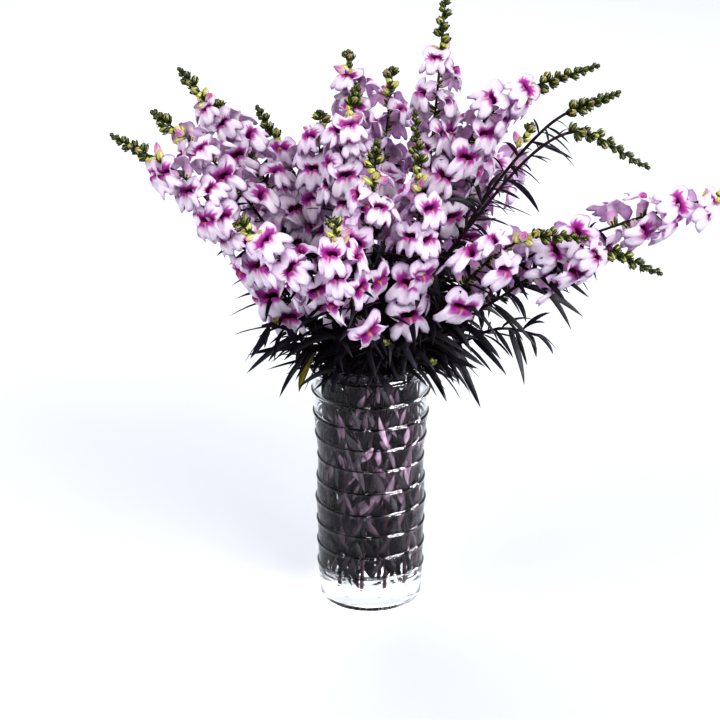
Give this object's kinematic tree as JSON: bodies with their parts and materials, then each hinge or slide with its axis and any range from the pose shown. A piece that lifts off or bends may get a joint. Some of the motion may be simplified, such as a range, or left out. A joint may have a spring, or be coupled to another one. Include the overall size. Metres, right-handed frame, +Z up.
{
  "type": "vase of snapdragons",
  "caption": "Clear glass vase with ringed sides, filled with water and a loose spreading bouquet of white and lilac snapdragons on dark leafy stems.",
  "frame": {"origin": "centre of the vase's flat base, on the surface it stands on", "axes": "+Z up along the vase's axis, -Y out of the front of the bouquet, +X towards the longest flower stalk, at the viewer's right of the front"},
  "size_m": [0.6621, 0.3734, 0.6844],
  "materials": {
    "glass": "gloss",
    "water": "gloss",
    "foliage": "satin",
    "petal": "matte",
    "bud": "matte"
  },
  "bodies": {
    "root": {"leafy_shoot_back_right": "foliage", "leafy_shoot_left": "foliage", "leafy_shoot_right": "foliage", "snapdragon_01_bud_tip": "bud", "snapdragon_01_flower_head": "petal", "snapdragon_01_leafy_stem": "foliage", "snapdragon_02_bud_tip": "bud", "snapdragon_02_flower_head": "petal", "snapdragon_02_leafy_stem": "foliage", "snapdragon_03_bud_tip": "bud", "snapdragon_03_flower_head": "petal", "snapdragon_03_leafy_stem": "foliage", "snapdragon_04_bud_tip": "bud", "snapdragon_04_flower_head": "petal", "snapdragon_04_leafy_stem": "foliage", "snapdragon_05_flower_head": "petal", "snapdragon_05_leafy_stem": "foliage", "snapdragon_06_flower_head": "petal", "snapdragon_06_leafy_stem": "foliage", "snapdragon_07_flower_head": "petal", "snapdragon_07_leafy_stem": "foliage", "snapdragon_08_bud_tip": "bud", "snapdragon_08_flower_head": "petal", "snapdragon_08_leafy_stem": "foliage", "snapdragon_09_bud_tip": "bud", "snapdragon_09_flower_head": "petal", "snapdragon_09_leafy_stem": "foliage", "snapdragon_10_bud_tip": "bud", "snapdragon_10_flower_head": "petal", "snapdragon_10_leafy_stem": "foliage", "snapdragon_11_bud_tip": "bud", "snapdragon_11_flower_head": "petal", "snapdragon_11_leafy_stem": "foliage", "snapdragon_12_bud_tip": "bud", "snapdragon_12_leafy_stem": "foliage", "snapdragon_13_bud_tip": "bud", "snapdragon_13_leafy_stem": "foliage", "snapdragon_14_bud_tip": "bud", "snapdragon_14_flower_head": "petal", "snapdragon_14_leafy_stem": "foliage", "snapdragon_15_bud_tip": "bud", "snapdragon_15_flower_head": "petal", "snapdragon_15_leafy_stem": "foliage", "snapdragon_16_bud_tip": "bud", "snapdragon_16_flower_head": "petal", "snapdragon_16_leafy_stem": "foliage", "snapdragon_17_flower_head": "petal", "snapdragon_17_leafy_stem": "foliage", "snapdragon_18_flower_head": "petal", "snapdragon_18_leafy_stem": "foliage", "snapdragon_19_flower_head": "petal", "snapdragon_19_leafy_stem": "foliage", "snapdragon_20_flower_head": "petal", "snapdragon_20_leafy_stem": "foliage", "snapdragon_21_flower_head": "petal", "snapdragon_21_leafy_stem": "foliage", "snapdragon_22_flower_head": "petal", "snapdragon_22_leafy_stem": "foliage", "vase": "glass", "water": "water"}
  },
  "joints": []
}
